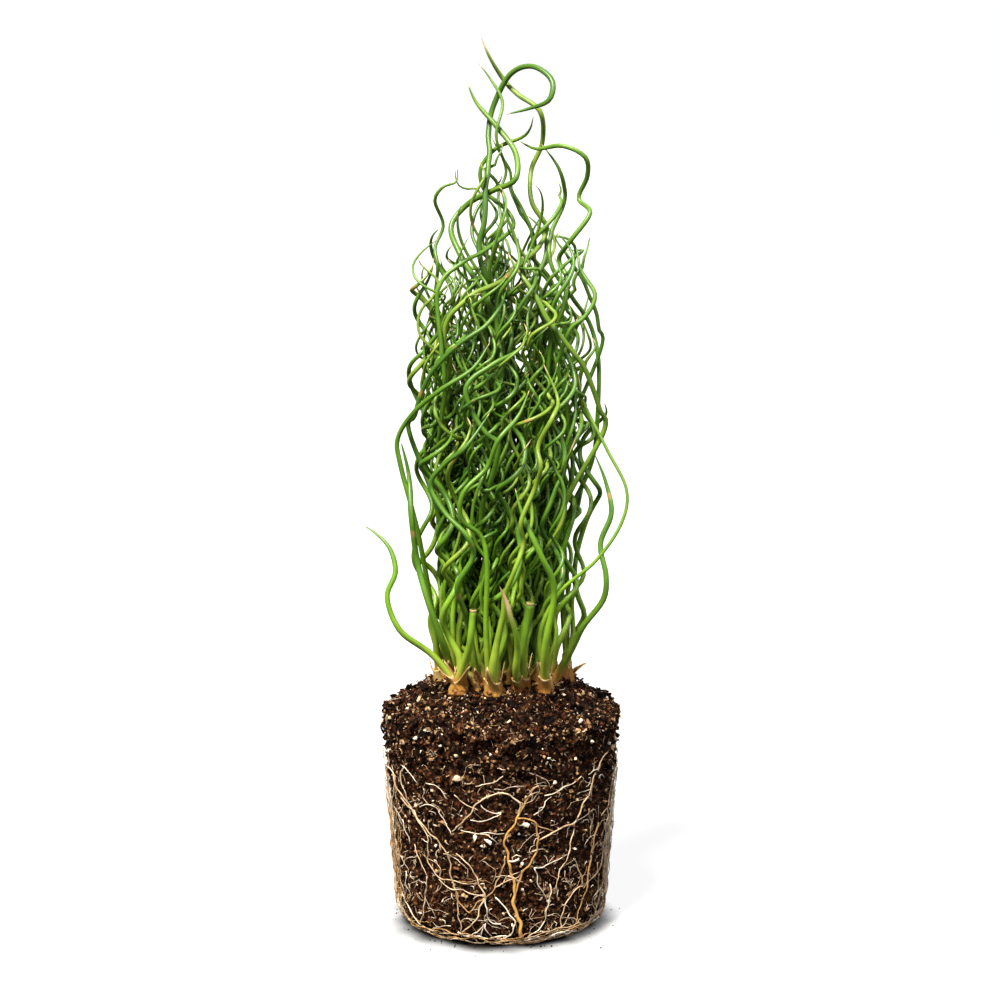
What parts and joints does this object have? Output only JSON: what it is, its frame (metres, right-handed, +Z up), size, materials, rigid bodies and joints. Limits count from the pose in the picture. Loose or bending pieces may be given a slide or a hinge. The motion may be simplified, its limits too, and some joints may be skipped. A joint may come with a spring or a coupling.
{
  "type": "corkscrew rush plug plant",
  "caption": "Young corkscrew rush on a bare, pot-shaped root ball: curling green stems rise from a tapered column of potting soil wrapped in a net of roots.",
  "frame": {"origin": "middle of the root ball's flat underside", "axes": "+Z up along the root ball, -Y towards the front, +X to the right seen from the front"},
  "size_m": [0.0962, 0.088, 0.3262],
  "materials": {
    "potting_soil": "damp peat and bark compost with white perlite, matte and crumbly",
    "root": "living roots, cream to tan, smooth with a faint damp sheen",
    "rush_stem": "waxy green rush stem, satin, paler at the soil and deeper above"
  },
  "bodies": {
    "root": {"soil": "potting_soil", "root_net": "root", "tuft_01": "rush_stem", "tuft_02": "rush_stem", "tuft_03": "rush_stem", "tuft_04": "rush_stem", "tuft_05": "rush_stem", "tuft_06": "rush_stem", "tuft_07": "rush_stem", "tuft_08": "rush_stem", "tuft_09": "rush_stem", "tuft_10": "rush_stem", "tuft_11": "rush_stem", "tuft_12": "rush_stem", "tuft_13": "rush_stem", "tuft_14": "rush_stem", "tuft_15": "rush_stem", "tuft_16": "rush_stem", "tuft_17": "rush_stem", "tuft_18": "rush_stem", "tuft_19": "rush_stem", "tuft_20": "rush_stem", "tuft_21": "rush_stem", "tuft_22": "rush_stem"}
  },
  "joints": []
}
